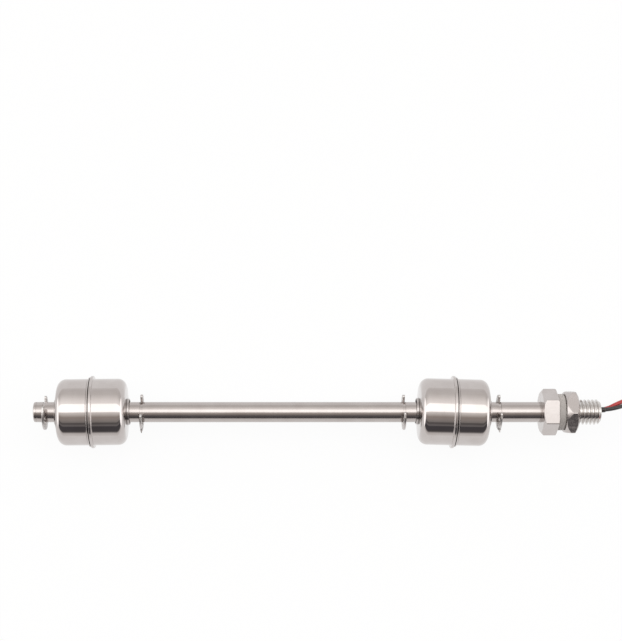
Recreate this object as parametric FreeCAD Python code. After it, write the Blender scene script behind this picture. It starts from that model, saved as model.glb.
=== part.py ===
import FreeCAD, Part
import math
import os

from FreeCAD import Vector

# Float level switch: a tubular stem with two magnetic floats that slide between retaining clips,
# reed switches inside the stem, and a threaded head with a sealing gasket and a lock nut.
# Millimetres. X runs along the stem towards the thread, Z is up, and the origin is the centre of
# the head's sealing face. The switch lies on the seam rings of its floats.

# Stem
stem_diameter = 8.0
stem_wall = 1.0
stem_reach = 199.5
stem_socket_depth = 4.0
tip_cap_thickness = 1.2
tip_edge_radius = 0.6
tip_spigot_length = 4.0

# Head and thread
head_across_flats = 16.0
head_thickness = 6.0
head_underside_land_radius = 7.95
head_underside_chamfer_depth = 1.1
head_seal_land_radius = 8.2
head_seal_chamfer_depth = 0.45
thread_diameter = 10.0
thread_length = 17.1
thread_end_chamfer = 1.0
lead_bore_diameter = 6.0

# Sealing gasket and lock nut
gasket_diameter = 14.3
gasket_thickness = 2.9
gasket_edge_radius = 0.3
nut_across_flats = 16.0
nut_thickness = 5.0
nut_corner_angle = 33.4
nut_seat_land_radius = 7.3
nut_seat_chamfer_depth = 1.2
nut_land_radius = 7.6
nut_chamfer_depth = 0.9

# Floats
float_diameter = 26.2
float_length = 27.4
float_wall = 0.35
float_corner_radius = 4.0
seam_diameter = 28.6
seam_lip_thickness = 0.7
core_outer_diameter = 10.4
core_wall = 0.4
core_projection = 1.0
magnet_diameter = 15.0
magnet_thickness = 5.0

# Places of the two floats, how far each can slide, and how far each leans on the stem in degrees
lower_float_above_tip = 23.0
lower_float_travel_down = 3.5
lower_float_travel_up = 4.1
lower_float_lean = 0.6
upper_float_below_head = 34.5
upper_float_travel_down = 4.1
upper_float_travel_up = 2.8
upper_float_lean = -1.5

# Retaining clips
clip_diameter = 14.0
clip_thickness = 0.9
clip_groove_diameter = 7.0
clip_groove_width = 1.0
clip_mouth = 5.8
clip_recess_radius = 5.3
clip_recess_start = 38.0
clip_recess_end = 108.0
clip_nib_length = 1.6
clip_nib_width = 0.9
clip_nib_point = 0.15
clip_mouth_angles = (5.0, -12.0, 4.0, -6.0)
clips_with_nib = (2, 4)

# Reed switches and their circuit strip
strip_width = 5.0
strip_thickness = 0.8
strip_above_tip = 11.0
strip_below_head = 3.5
sleeve_wall = 0.2
sleeve_above_tip = 7.0
sleeve_below_head = 1.0
reed_glass_diameter = 2.0
reed_glass_wall = 0.25
reed_glass_length = 14.0
reed_glass_end_radius = 0.5
reed_lead_diameter = 0.5
reed_lead_reach = 3.5
reed_blade_width = 0.9
reed_blade_thickness = 0.18
reed_blade_overlap = 1.0
reed_contact_gap = 0.12

# Wires
wire_diameter = 1.6
conductor_diameter = 0.9
conductor_length = 6.0
conductor_on_strip = 6.0
insulation_after_strip = 0.5
potting_length = 16.5
potting_recess = 0.3
red_exit_y = 1.0
red_exit_z = -0.85
black_exit_y = 0.9
black_exit_z = 0.85

# Coil of the spare wire, a block of turns that lie beside and on each other
coil_centre_x = 52.0
coil_centre_y = -4.5
coil_middle_radius = 9.6
coil_columns = 3
coil_layers = 3
coil_turn_spacing = 1.7
coil_edge_chamfer = 0.6
tie_thickness = 0.4
tie_width = 3.0

# Clearances
fixed_gap = 0.02
thread_gap = 0.05
seat_gap = 0.05
stop_gap = 0.05
cut_overshoot = 1.0

# Worked out from the sizes above
stem_radius = stem_diameter / 2
stem_bore_radius = stem_radius - stem_wall
tip_x = -head_thickness - stem_reach
underside_x = -head_thickness
stem_top_x = underside_x + stem_socket_depth
thread_radius = thread_diameter / 2
lead_bore_radius = lead_bore_diameter / 2
potting_face_x = thread_length - potting_recess
lower_float_x = tip_x + lower_float_above_tip
upper_float_x = underside_x - upper_float_below_head
strip_end_x = underside_x - strip_below_head
core_radius = core_outer_diameter / 2
floor_z = -seam_diameter / 2
wire_radius = wire_diameter / 2
wire_on_floor_z = floor_z + wire_radius
coil_inner_radius = coil_middle_radius - (coil_columns - 1) / 2 * coil_turn_spacing - wire_radius
coil_outer_radius = coil_middle_radius + (coil_columns - 1) / 2 * coil_turn_spacing + wire_radius
coil_height = (coil_layers - 1) * coil_turn_spacing + wire_diameter
coil_outer_turn_y = coil_centre_y + coil_outer_radius - wire_radius
coil_middle_turn_y = coil_centre_y + coil_middle_radius
coil_top_turn_z = floor_z + coil_height - wire_radius

# Routes of the wires outside the head, from the potting to the coil and from the coil to the bare ends
red_wire_route = [
    (potting_face_x, red_exit_y, red_exit_z),
    (19.8, red_exit_y, red_exit_z),
    (25.0, 3.6, -1.5),
    (31.0, 5.6, -4.9),
    (37.0, 6.6, -9.6),
    (42.8, coil_outer_turn_y, -13.1),
    (47.6, coil_outer_turn_y, wire_on_floor_z),
    (coil_centre_x, coil_outer_turn_y + 0.1, wire_on_floor_z),
]
black_wire_route = [
    (potting_face_x, black_exit_y, black_exit_z),
    (19.8, black_exit_y, black_exit_z),
    (25.0, 1.9, -0.1),
    (31.0, 3.7, -4.1),
    (37.0, 4.8, -9.3),
    (42.8, coil_middle_turn_y, -13.0),
    (47.6, coil_middle_turn_y, wire_on_floor_z),
    (coil_centre_x, coil_middle_turn_y + 0.1, wire_on_floor_z),
]
red_tail_route = [
    (coil_centre_x, coil_outer_turn_y, coil_top_turn_z),
    (56.5, coil_outer_turn_y, -10.3),
    (61.5, 6.5, wire_on_floor_z),
    (66.0, 6.0, wire_on_floor_z),
]
black_tail_route = [
    (coil_centre_x, coil_middle_turn_y, -9.4),
    (56.3, coil_middle_turn_y, -8.3),
    (60.6, 4.6, -8.7),
    (65.2, 3.6, wire_on_floor_z),
    (69.6, 2.9, wire_on_floor_z),
]


def cylinder(radius, start_x, end_x, y=0.0, z=0.0):
    """Cylinder that runs along X."""
    return Part.makeCylinder(radius, end_x - start_x, Vector(start_x, y, z), Vector(1, 0, 0))


def ring(outer_radius, inner_radius, start_x, end_x):
    """Plain ring about the stem's axis."""
    return cylinder(outer_radius, start_x, end_x).cut(cylinder(inner_radius, start_x, end_x))


def box(start, end):
    """Box between two opposite corners."""
    size = Vector(*end) - Vector(*start)
    return Part.makeBox(size.x, size.y, size.z, Vector(*start))


def turned(start, *steps):
    """Solid turned about X. A step is an end point for a line, or a middle and an end for an arc."""
    edges = []
    here = Vector(start[0], 0, start[1])
    for step in steps:
        if isinstance(step[0], tuple):
            middle, end = step
            there = Vector(end[0], 0, end[1])
            edges.append(Part.Arc(here, Vector(middle[0], 0, middle[1]), there).toShape())
        else:
            there = Vector(step[0], 0, step[1])
            edges.append(Part.LineSegment(here, there).toShape())
        here = there
    edges.append(Part.LineSegment(here, Vector(start[0], 0, start[1])).toShape())
    face = Part.Face(Part.Wire(edges))
    return face.revolve(Vector(0, 0, 0), Vector(1, 0, 0), 360)


def quarter_arc(centre, radius, start_angle, end_angle):
    """Middle and end point of an arc about a centre, for turned()."""
    middle_angle = math.radians((start_angle + end_angle) / 2)
    last_angle = math.radians(end_angle)
    middle = (centre[0] + radius * math.cos(middle_angle), centre[1] + radius * math.sin(middle_angle))
    end = (centre[0] + radius * math.cos(last_angle), centre[1] + radius * math.sin(last_angle))
    return middle, end


def hexagon_prism(across_flats, start_x, end_x, corner_angle):
    """Hexagonal prism along X. corner_angle is the angle of one corner from +Y towards +Z."""
    corner_radius = across_flats / math.sqrt(3)
    corners = []
    for side in range(7):
        angle = math.radians(corner_angle + 60 * side)
        corners.append(Vector(start_x, corner_radius * math.cos(angle), corner_radius * math.sin(angle)))
    return Part.Face(Part.makePolygon(corners)).extrude(Vector(end_x - start_x, 0, 0))


def chamfered_hexagon(across_flats, start_x, end_x, corner_angle, start_chamfer, end_chamfer):
    """Hexagonal prism with its corners turned off. A chamfer is the land's radius and the depth."""
    start_land, start_depth = start_chamfer
    end_land, end_depth = end_chamfer
    corner_radius = across_flats / math.sqrt(3)
    outline = turned(
        (start_x, 0),
        (start_x, start_land),
        (start_x + start_depth, corner_radius),
        (end_x - end_depth, corner_radius),
        (end_x, end_land),
        (end_x, 0),
    )
    return hexagon_prism(across_flats, start_x, end_x, corner_angle).common(outline)


def float_reach(lean):
    """Half the length of a float along the stem, with its core tube and its lean."""
    angle = math.radians(abs(lean))
    return (float_length / 2 + core_projection) * math.cos(angle) + core_radius * math.sin(angle)


def clip_places():
    """X of the middle of each clip: one just beyond each end of each float's travel."""
    lower_reach = float_reach(lower_float_lean) + stop_gap + clip_thickness / 2
    upper_reach = float_reach(upper_float_lean) + stop_gap + clip_thickness / 2
    return [
        lower_float_x - lower_reach - lower_float_travel_down,
        lower_float_x + lower_reach + lower_float_travel_up,
        upper_float_x - upper_reach - upper_float_travel_down,
        upper_float_x + upper_reach + upper_float_travel_up,
    ]


def stem_tube():
    tube = ring(stem_radius, stem_bore_radius, tip_x + tip_cap_thickness, stem_top_x)
    for x in clip_places():
        half = clip_groove_width / 2
        tube = tube.cut(ring(stem_radius + cut_overshoot, clip_groove_diameter / 2, x - half, x + half))
    return tube


def tip_plug():
    cap_end = tip_x + tip_cap_thickness
    spigot_end = cap_end + tip_spigot_length
    spigot_radius = stem_bore_radius - fixed_gap
    edge_centre = (tip_x + tip_edge_radius, stem_radius - tip_edge_radius)
    return turned(
        (tip_x, 0),
        (tip_x, stem_radius - tip_edge_radius),
        quarter_arc(edge_centre, tip_edge_radius, 180, 90),
        (cap_end, stem_radius),
        (cap_end, spigot_radius),
        (spigot_end, spigot_radius),
        (spigot_end, 0),
    )


def threaded_head():
    """Hexagon head and threaded stud in one turned piece, with the stem's socket and the lead bore."""
    head = chamfered_hexagon(
        head_across_flats,
        underside_x,
        0,
        0,
        (head_underside_land_radius, head_underside_chamfer_depth),
        (head_seal_land_radius, head_seal_chamfer_depth),
    )
    stud = turned(
        (-head_thickness / 2, 0),
        (-head_thickness / 2, thread_radius),
        (thread_length - thread_end_chamfer, thread_radius),
        (thread_length, thread_radius - thread_end_chamfer),
        (thread_length, 0),
    )
    socket = cylinder(stem_radius + fixed_gap, underside_x, stem_top_x)
    bore = cylinder(lead_bore_radius, underside_x, thread_length)
    return head.fuse(stud).removeSplitter().cut(socket).cut(bore)


def sealing_gasket():
    start_x = seat_gap
    gasket = ring(gasket_diameter / 2, thread_radius + thread_gap, start_x, start_x + gasket_thickness)
    outer_edges = []
    for edge in gasket.Edges:
        if isinstance(edge.Curve, Part.Circle) and edge.Curve.Radius > gasket_diameter / 2 - fixed_gap:
            outer_edges.append(edge)
    return gasket.makeFillet(gasket_edge_radius, outer_edges)


def lock_nut():
    start_x = seat_gap + gasket_thickness + seat_gap
    end_x = start_x + nut_thickness
    seat_chamfer = (nut_seat_land_radius, nut_seat_chamfer_depth)
    outer_chamfer = (nut_land_radius, nut_chamfer_depth)
    body = chamfered_hexagon(
        nut_across_flats,
        start_x,
        end_x,
        nut_corner_angle,
        seat_chamfer,
        outer_chamfer,
    )
    return body.cut(cylinder(thread_radius + thread_gap, start_x, end_x))


def clip_nib(x):
    """Small blunt point that stands out of the closed side of a clip, and narrows both ways."""
    base_y = clip_diameter / 2 - clip_nib_width / 2
    end_y = clip_diameter / 2 + clip_nib_length
    half_base = clip_nib_width / 2
    half_point = clip_nib_point / 2
    half_thickness = clip_thickness / 2
    nib = Part.makeWedge(
        -half_thickness, base_y, -half_base, -half_point, -half_point,
        half_thickness, end_y, half_base, half_point, half_point,
    )
    nib.rotate(Vector(0, 0, 0), Vector(1, 0, 0), 180)
    nib.translate(Vector(x, 0, 0))
    return nib


def retaining_clip(x, mouth_angle, has_nib):
    """E-shaped clip: three lugs bear in the groove, and the mouth opens towards mouth_angle.

    Some clips have a nib on their closed side.
    """
    start_x = x - clip_thickness / 2
    end_x = x + clip_thickness / 2
    outer_radius = clip_diameter / 2
    bearing_radius = clip_groove_diameter / 2 + fixed_gap
    plate = ring(outer_radius, bearing_radius, start_x, end_x)
    mouth = box((start_x, 0, -clip_mouth / 2), (end_x, outer_radius + cut_overshoot, clip_mouth / 2))
    plate = plate.cut(mouth)
    recess_ring = ring(clip_recess_radius, bearing_radius - cut_overshoot, start_x, end_x)
    for side in (1, -1):
        corners = [Vector(start_x, 0, 0)]
        for angle in (clip_recess_start, (clip_recess_start + clip_recess_end) / 2, clip_recess_end):
            turn = math.radians(180 + side * angle)
            corners.append(Vector(start_x, clip_diameter * math.cos(turn), clip_diameter * math.sin(turn)))
        wedge = Part.Face(Part.makePolygon(corners + corners[:1])).extrude(Vector(clip_thickness, 0, 0))
        plate = plate.cut(recess_ring.common(wedge))
    if has_nib:
        plate = plate.fuse(clip_nib(x)).removeSplitter()
    plate.rotate(Vector(0, 0, 0), Vector(1, 0, 0), mouth_angle)
    return plate


def float_half_shell(direction):
    """Pressed cup with its seam lip at the float's middle. direction is -1 for the half nearer the tip."""
    half_length = float_length / 2
    outer = float_diameter / 2
    inner = outer - float_wall
    hole = core_radius + fixed_gap
    lip_outer = seam_diameter / 2
    corner = (half_length - float_corner_radius, outer - float_corner_radius)
    lip_centre = (0, lip_outer - seam_lip_thickness)
    cup = turned(
        (half_length, hole),
        (half_length, outer - float_corner_radius),
        quarter_arc(corner, float_corner_radius, 0, 90),
        (seam_lip_thickness, outer),
        (seam_lip_thickness, lip_outer - seam_lip_thickness),
        quarter_arc(lip_centre, seam_lip_thickness, 0, 90),
        (0, inner),
        (half_length - float_corner_radius, inner),
        quarter_arc(corner, float_corner_radius - float_wall, 90, 0),
        (half_length - float_wall, hole),
    )
    if direction < 0:
        cup = cup.mirror(Vector(0, 0, 0), Vector(1, 0, 0))
    return cup


def float_core_tube():
    half_length = float_length / 2 + core_projection
    return ring(core_radius, core_radius - core_wall, -half_length, half_length)


def float_magnet():
    half_thickness = magnet_thickness / 2
    return ring(magnet_diameter / 2, core_radius + fixed_gap, -half_thickness, half_thickness)


def circuit_strip():
    half_width = strip_width / 2
    half_thickness = strip_thickness / 2
    return box(
        (tip_x + strip_above_tip, -half_width, -half_thickness),
        (strip_end_x, half_width, half_thickness),
    )


def insulating_sleeve():
    outer = stem_bore_radius - fixed_gap
    return ring(outer, outer - sleeve_wall, tip_x + sleeve_above_tip, underside_x - sleeve_below_head)


def reed_axis_z():
    """Height of a reed switch's axis, where its glass lies on the circuit strip."""
    return strip_thickness / 2 + reed_glass_diameter / 2


def reed_glass(centre_x):
    """Sealed glass tube with a round end about each lead."""
    half = reed_glass_length / 2
    outer = reed_glass_diameter / 2
    inner = outer - reed_glass_wall
    hole = reed_lead_diameter / 2 + fixed_gap
    cavity_end = half - outer
    glass = turned(
        (-half, hole),
        (-half, reed_glass_end_radius),
        (-half + outer - reed_glass_end_radius, outer),
        (half - outer + reed_glass_end_radius, outer),
        (half, reed_glass_end_radius),
        (half, hole),
        (cavity_end, hole),
        (cavity_end, inner),
        (-cavity_end, inner),
        (-cavity_end, hole),
    )
    glass.translate(Vector(centre_x, 0, reed_axis_z()))
    return glass


def reed_blade(centre_x, direction):
    """Flat blade inside the glass, and the round lead that runs out and down to the strip."""
    axis_z = reed_axis_z()
    lead_radius = reed_lead_diameter / 2
    half = reed_glass_length / 2
    cavity_end = half - reed_glass_diameter / 2
    lead_end = half + reed_lead_reach
    blade_z = direction * (reed_contact_gap + reed_blade_thickness) / 2
    blade = box(
        (-reed_blade_overlap / 2, -reed_blade_width / 2, blade_z - reed_blade_thickness / 2),
        (cavity_end - reed_lead_diameter, reed_blade_width / 2, blade_z + reed_blade_thickness / 2),
    )
    lead = cylinder(lead_radius, cavity_end - 2 * reed_lead_diameter, lead_end)
    leg_length = axis_z - strip_thickness / 2
    leg = Part.makeCylinder(lead_radius, leg_length, Vector(lead_end, 0, -leg_length), Vector(0, 0, 1))
    elbow = Part.makeSphere(lead_radius, Vector(lead_end, 0, 0))
    whole = blade.fuse([lead, leg, elbow]).removeSplitter()
    if direction < 0:
        whole = whole.mirror(Vector(0, 0, 0), Vector(1, 0, 0))
    whole.translate(Vector(centre_x, 0, axis_z))
    return whole


def inner_lead(y, z):
    """Insulated wire from the circuit strip through the potting, bared where it is soldered on."""
    insulation_start = strip_end_x + insulation_after_strip
    insulation = cylinder(wire_radius, insulation_start, potting_face_x, y, z)
    side = 1 if z > 0 else -1
    bare_z = side * (strip_thickness + conductor_diameter) / 2
    bare_start = strip_end_x - conductor_on_strip
    bare = cylinder(conductor_diameter / 2, bare_start, insulation_start + wire_radius, y, bare_z)
    return insulation.fuse(bare).removeSplitter()


def potting():
    """Cast resin plug that closes the thread's bore round the two wires."""
    start_x = potting_face_x - potting_length
    plug = cylinder(lead_bore_radius - fixed_gap, start_x, potting_face_x)
    for y, z in ((red_exit_y, red_exit_z), (black_exit_y, black_exit_z)):
        plug = plug.cut(cylinder(wire_radius + fixed_gap, start_x, potting_face_x, y, z))
    return plug


def bend(before, corner, after):
    """Start, middle and end of the arc that rounds one corner of a route, and its radius."""
    into = (corner - before).normalize()
    out = (after - corner).normalize()
    half_turn = into.getAngle(out) / 2
    reach = 0.45 * min((corner - before).Length, (after - corner).Length)
    radius = reach / math.tan(half_turn)
    inward = (out - into).normalize()
    middle = corner + inward * (radius / math.cos(half_turn) - radius)
    return corner - into * reach, middle, corner + out * reach, radius


def wire_tube(name, route):
    """Round wire along straight runs joined by tangent arcs. Prints its bend radii and its volume."""
    points = [Vector(*point) for point in route]
    edges = []
    radii = []
    here = points[0]
    for before, corner, after in zip(points, points[1:], points[2:]):
        start, middle, end, radius = bend(before, corner, after)
        edges.append(Part.LineSegment(here, start).toShape())
        edges.append(Part.Arc(start, middle, end).toShape())
        radii.append(round(radius, 1))
        here = end
    edges.append(Part.LineSegment(here, points[-1]).toShape())
    path = Part.Wire(edges)
    section = Part.Wire(Part.makeCircle(wire_radius, points[0], points[1] - points[0]))
    tube = path.makePipeShell([section], True, False)
    expected = math.pi * wire_radius ** 2 * path.Length
    print(name, "length", round(path.Length, 1), "radii", radii, "volume", tube.Volume, "expected", expected)
    return tube


def bare_end(route):
    """Bared, tinned conductor that carries on from the end of a wire."""
    last = Vector(*route[-1])
    direction = last - Vector(*route[-2])
    return Part.makeCylinder(conductor_diameter / 2, conductor_length, last, direction)


def coil_tie():
    """Flat band round the turns on the far side of the coil."""
    inside_x = coil_centre_x + coil_inner_radius
    outside_x = coil_centre_x + coil_outer_radius
    near_y = coil_centre_y - tie_width / 2
    far_y = coil_centre_y + tie_width / 2
    top_z = floor_z + coil_height
    band = box(
        (inside_x - tie_thickness, near_y, floor_z),
        (outside_x + tie_thickness, far_y, top_z + tie_thickness),
    )
    return band.cut(box((inside_x, near_y, floor_z + tie_thickness), (outside_x, far_y, top_z)))


def wire_coil():
    """Outer shape of the coiled wires, let in where the tie pulls them together."""
    top_z = floor_z + coil_height
    cut = coil_edge_chamfer
    section = [
        (coil_inner_radius + cut, floor_z),
        (coil_outer_radius - cut, floor_z),
        (coil_outer_radius, floor_z + cut),
        (coil_outer_radius, top_z - cut),
        (coil_outer_radius - cut, top_z),
        (coil_inner_radius + cut, top_z),
        (coil_inner_radius, top_z - cut),
        (coil_inner_radius, floor_z + cut),
    ]
    corners = [Vector(coil_centre_x + radius, coil_centre_y, z) for radius, z in section]
    face = Part.Face(Part.makePolygon(corners + corners[:1]))
    axis_point = Vector(coil_centre_x, coil_centre_y, 0)
    return face.revolve(axis_point, Vector(0, 0, 1), 360).cut(coil_tie())


def float_nodes(name, centre_x, lean):
    """The pieces of one float. It leans about the upright axis, as far as its bore lets it."""
    pieces = {
        name + "_bottom_shell": float_half_shell(-1),
        name + "_top_shell": float_half_shell(1),
        name + "_core_tube": float_core_tube(),
        name + "_magnet": float_magnet(),
    }
    for piece in pieces.values():
        piece.rotate(Vector(0, 0, 0), Vector(0, 0, 1), lean)
        piece.translate(Vector(centre_x, 0, 0))
    return pieces


def reed_nodes(name, centre_x):
    return {
        name + "_glass": reed_glass(centre_x),
        name + "_lower_blade": reed_blade(centre_x, -1),
        name + "_upper_blade": reed_blade(centre_x, 1),
    }


nodes = {
    "stem_tube": stem_tube(),
    "tip_plug": tip_plug(),
    "threaded_head": threaded_head(),
    "sealing_gasket": sealing_gasket(),
    "lock_nut": lock_nut(),
    "circuit_strip": circuit_strip(),
    "insulating_sleeve": insulating_sleeve(),
    "potting": potting(),
    "red_inner_lead": inner_lead(red_exit_y, red_exit_z),
    "black_inner_lead": inner_lead(black_exit_y, black_exit_z),
    "red_wire": wire_tube("red_wire", red_wire_route),
    "black_wire": wire_tube("black_wire", black_wire_route),
    "wire_coil": wire_coil(),
    "coil_tie": coil_tie(),
    "red_wire_tail": wire_tube("red_wire_tail", red_tail_route),
    "black_wire_tail": wire_tube("black_wire_tail", black_tail_route),
    "red_bare_end": bare_end(red_tail_route),
    "black_bare_end": bare_end(black_tail_route),
}
nodes.update(float_nodes("lower_float", lower_float_x, lower_float_lean))
nodes.update(float_nodes("upper_float", upper_float_x, upper_float_lean))
nodes.update(reed_nodes("lower_reed", lower_float_x))
nodes.update(reed_nodes("upper_reed", upper_float_x))
for number, place in enumerate(clip_places(), start=1):
    mouth_angle = clip_mouth_angles[number - 1]
    nodes["retaining_clip_" + str(number)] = retaining_clip(place, mouth_angle, number in clips_with_nib)

os.makedirs("parts", exist_ok=True)
for name, shape in nodes.items():
    if not shape.isValid() or len(shape.Solids) != 1:
        raise ValueError(name + " is not one valid solid")
    shape.exportStep("parts/" + name + ".step")
print(len(nodes), "nodes")
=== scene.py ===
import cmath
import math

import bmesh
import bpy
import numpy as np
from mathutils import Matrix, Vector, noise


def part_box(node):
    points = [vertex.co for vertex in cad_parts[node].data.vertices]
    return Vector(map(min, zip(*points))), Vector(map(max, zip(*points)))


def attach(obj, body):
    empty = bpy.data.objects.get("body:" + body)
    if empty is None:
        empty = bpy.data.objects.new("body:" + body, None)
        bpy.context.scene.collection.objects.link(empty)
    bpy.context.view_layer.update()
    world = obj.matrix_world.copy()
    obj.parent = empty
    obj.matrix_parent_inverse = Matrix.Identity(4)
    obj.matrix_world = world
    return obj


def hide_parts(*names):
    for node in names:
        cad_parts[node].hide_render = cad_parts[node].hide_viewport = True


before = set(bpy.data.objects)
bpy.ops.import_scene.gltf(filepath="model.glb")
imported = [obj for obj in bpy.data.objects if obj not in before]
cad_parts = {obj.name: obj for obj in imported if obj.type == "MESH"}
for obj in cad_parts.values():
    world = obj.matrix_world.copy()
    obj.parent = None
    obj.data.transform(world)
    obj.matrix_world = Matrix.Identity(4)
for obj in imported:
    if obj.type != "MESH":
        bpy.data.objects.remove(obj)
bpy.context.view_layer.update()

# Float level switch lying on a white table. Sizes are in millimetres until a mesh or curve is made.
MM = 0.001

# The photograph: its size in pixels, its pixels per millimetre at the stem's axis, the pixels where
# the origin lies and where the lens points, and the camera's height over the axis
PHOTO_WIDTH = 622
PHOTO_HEIGHT = 641
PHOTO_SCALE = 2.5385
ORIGIN_PIXEL = (555.86, 412.1)
LENS_PIXEL = (267.0, 412.1)
CAMERA_HEIGHT = 575.0
SENSOR = 36.0

# Sizes that the pieces share with the solids
STEM_RADIUS = 4.0
STEM_BORE_RADIUS = 3.0
TIP_X = -205.5
TIP_CAP = 1.2
TIP_ROUNDING = 0.6
TIP_SPIGOT = 4.0
UNDERSIDE_X = -6.0
STEM_TOP_X = -2.0
GROOVE_RADIUS = 3.5
GROOVE_WIDTH = 1.0
HEAD_ACROSS_FLATS = 16.0
THREAD_RADIUS = 5.0
THREAD_PITCH = 1.5
THREAD_DEPTH = 0.9
THREAD_LENGTH = 17.1
CLEAR_BORE_RADIUS = 5.06
GASKET_START_X = 0.05
GASKET_END_X = 2.95
GASKET_RADIUS = 7.15
NUT_START_X = 3.0
NUT_END_X = 8.0
NUT_ANGLE = 33.4
BORE_RADIUS = 3.0
POTTING_X = 16.8
FLOAT_RADIUS = 13.1
FLOAT_HALF_LENGTH = 13.7
FLOAT_WALL = 0.35
CORE_RADIUS = 5.2
CORE_WALL = 0.4
CORE_PROJECTION = 1.0
CLIP_RADIUS = 7.0
CLIP_BEARING_RADIUS = 3.52
CLIP_RECESS_RADIUS = 5.3
CLIP_NIB_RADIUS = 8.5
CLIP_HALF_THICKNESS = 0.44
FLOOR_Z = -14.3
WIRE_DIAMETER = 1.6
COIL_CENTRE = (52.0, -4.5)
COIL_RADII = {"outer": 11.29, "middle": 9.6, "inner": 7.9}
COIL_LAYERS = {"bottom": -13.5, "centre": -11.8, "top": -10.1}
COIL_STEPS = 20
COIL_CROSSING_START = 280
COIL_CROSSING_SPAN = 40

# Gap between faces that touch
TOUCH_GAP = 0.02

# Each float's middle, lean in degrees, noise seed, and the way along X that its standing rim faces
FLOATS = {"lower": (-182.5, 0.6, 3.0, 1), "upper": (-40.5, -1.5, 27.0, -1)}
FLOAT_FACE_RADIUS = 6.6
FLOAT_DISH = 0.35
FLOAT_SHOULDER = 3.7
WELD_BEAD = 0.25

# A float's seam, from its middle: one half's rim, the lip, stands over the other's, the fold, with
# a groove between them and a crevice at the fold's foot
SEAM_RADIUS = 14.28
SEAM_LIP = (-0.28, 0.80)
SEAM_FOLD = (-1.20, -0.64)
SEAM_FOLD_RADIUS = 13.72
SEAM_GROOVE_X = -0.46
SEAM_FOOT_X = -1.30

# A clip: half its mouth's width at the outer edge and at the bearing, its recesses' two ends and its
# rounded tips' stretch of the outer edge in degrees, and its nibs' half width and thinning
CLIP_MOUTH_OUTER = 4.3
CLIP_MOUTH_INNER = 2.9
CLIP_RECESS = (72, 142)
CLIP_TIP_SPAN = 24
CLIP_TIP_ROUNDING = 1.2
CLIP_NIB_HALF_WIDTH = 0.45
CLIP_NIB_THINNING = 0.8
CLIP_EDGE = 0.16

# Each clip's number, its mouth's and its nib's angle from +Y towards +Z, and its lean, in degrees
CLIPS = ((1, 28, None, 0.2), (2, 57, 172, -0.3), (3, 48, None, 0.3), (4, 50, 166, -0.3))

# Where the wires leave the potting, as (y, z)
EXITS = {"red": (1.0, -0.85), "black": (0.9, 0.85)}

# The bared conductors: one strand with the others twisted round it
STRANDS_ROUND = 6
STRAND_RADIUS = 0.15
STRAND_LAY_RADIUS = 0.29
STRAND_PITCH = 5.5
STRAND_LENGTH = 5.95
STRAND_HIDDEN = 0.6
STRAND_STEPS = 24

# The tie round the coil: its inside from the coil's centre, its height, thickness and half width
TIE_INSIDE = 7.1
TIE_OUTSIDE = 12.1
TIE_HEIGHT = 5.0
TIE_THICKNESS = 0.4
TIE_HALF_WIDTH = 1.5

TABLE_HALF_SIZE = 3000.0
TABLE_GLOW = 0.93


# Meshes

def round_corners(points, closed=True):
    """Path of (u, v, radius, steps) points in a plane with each corner rounded, as (u, v) points."""
    count = len(points)
    path = []
    for index, (u, v, radius, steps) in enumerate(points):
        corner = complex(u, v)
        if steps == 0 or (not closed and index in (0, count - 1)):
            path.append(corner)
            continue
        before = complex(*points[index - 1][:2])
        after = complex(*points[(index + 1) % count][:2])
        into = (corner - before) / abs(corner - before)
        out = (after - corner) / abs(after - corner)
        turn = cmath.phase(out / into)
        half_tangent = max(abs(math.tan(turn / 2)), 1e-4)
        longest = 0.49 * min(abs(corner - before), abs(after - corner))
        reach = min(radius * half_tangent, longest)
        side = 1j * into * math.copysign(reach / half_tangent, turn)
        centre = corner - into * reach + side
        for step in range(steps + 1):
            path.append(centre - side * cmath.exp(1j * turn * step / steps))
    return [(point.real, point.imag) for point in path]


def subdivided(path, longest, closed=True):
    """The same path with its long runs divided."""
    result = []
    last = len(path) if closed else len(path) - 1
    for index in range(last):
        start = np.array(path[index])
        end = np.array(path[(index + 1) % len(path)])
        parts = max(1, math.ceil(np.linalg.norm(end - start) / longest))
        for part in range(parts):
            result.append(tuple(start + (end - start) * part / parts))
    if not closed:
        result.append(tuple(path[-1]))
    return result


def flipped(points):
    """The same (x, radius, rounding, steps) points mirrored along X."""
    return [(-x, radius, rounding, steps) for x, radius, rounding, steps in points]


def angles_round(count):
    return [2 * math.pi * step / count for step in range(count)]


def turned_point(x, radius, angle):
    return x, radius * math.cos(angle), radius * math.sin(angle)


def finish_mesh(name, vertices, faces, sharp_angle=None):
    """Object from millimetre points, with doubled points joined and its faces turned outwards."""
    mesh = bpy.data.meshes.new(name)
    mesh.from_pydata([tuple(point) for point in np.asarray(vertices) * MM], [], faces)
    work = bmesh.new()
    work.from_mesh(mesh)
    bmesh.ops.remove_doubles(work, verts=work.verts, dist=1e-7)
    bmesh.ops.recalc_face_normals(work, faces=work.faces)
    for face in work.faces:
        face.smooth = True
    work.to_mesh(mesh)
    work.free()
    if sharp_angle is not None:
        mesh.set_sharp_from_angle(angle=math.radians(sharp_angle))
    thing = bpy.data.objects.new(name, mesh)
    bpy.context.scene.collection.objects.link(thing)
    return thing


def grid_faces(rows, columns, wrap_rows):
    """Quads of a grid whose columns wrap round."""
    faces = []
    for row in range(rows if wrap_rows else rows - 1):
        below = row * columns
        above = (row + 1) % rows * columns
        for column in range(columns):
            beside = (column + 1) % columns
            faces.append((below + column, below + beside, above + beside, above + column))
    return faces


def mesh_of_rings(name, rings, wrap_rings, sharp_angle):
    """Skin through rings of points. With wrap_rings, the last ring joins the first."""
    vertices = [point for ring in rings for point in ring]
    return finish_mesh(name, vertices, grid_faces(len(rings), len(rings[0]), wrap_rings), sharp_angle)


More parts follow.
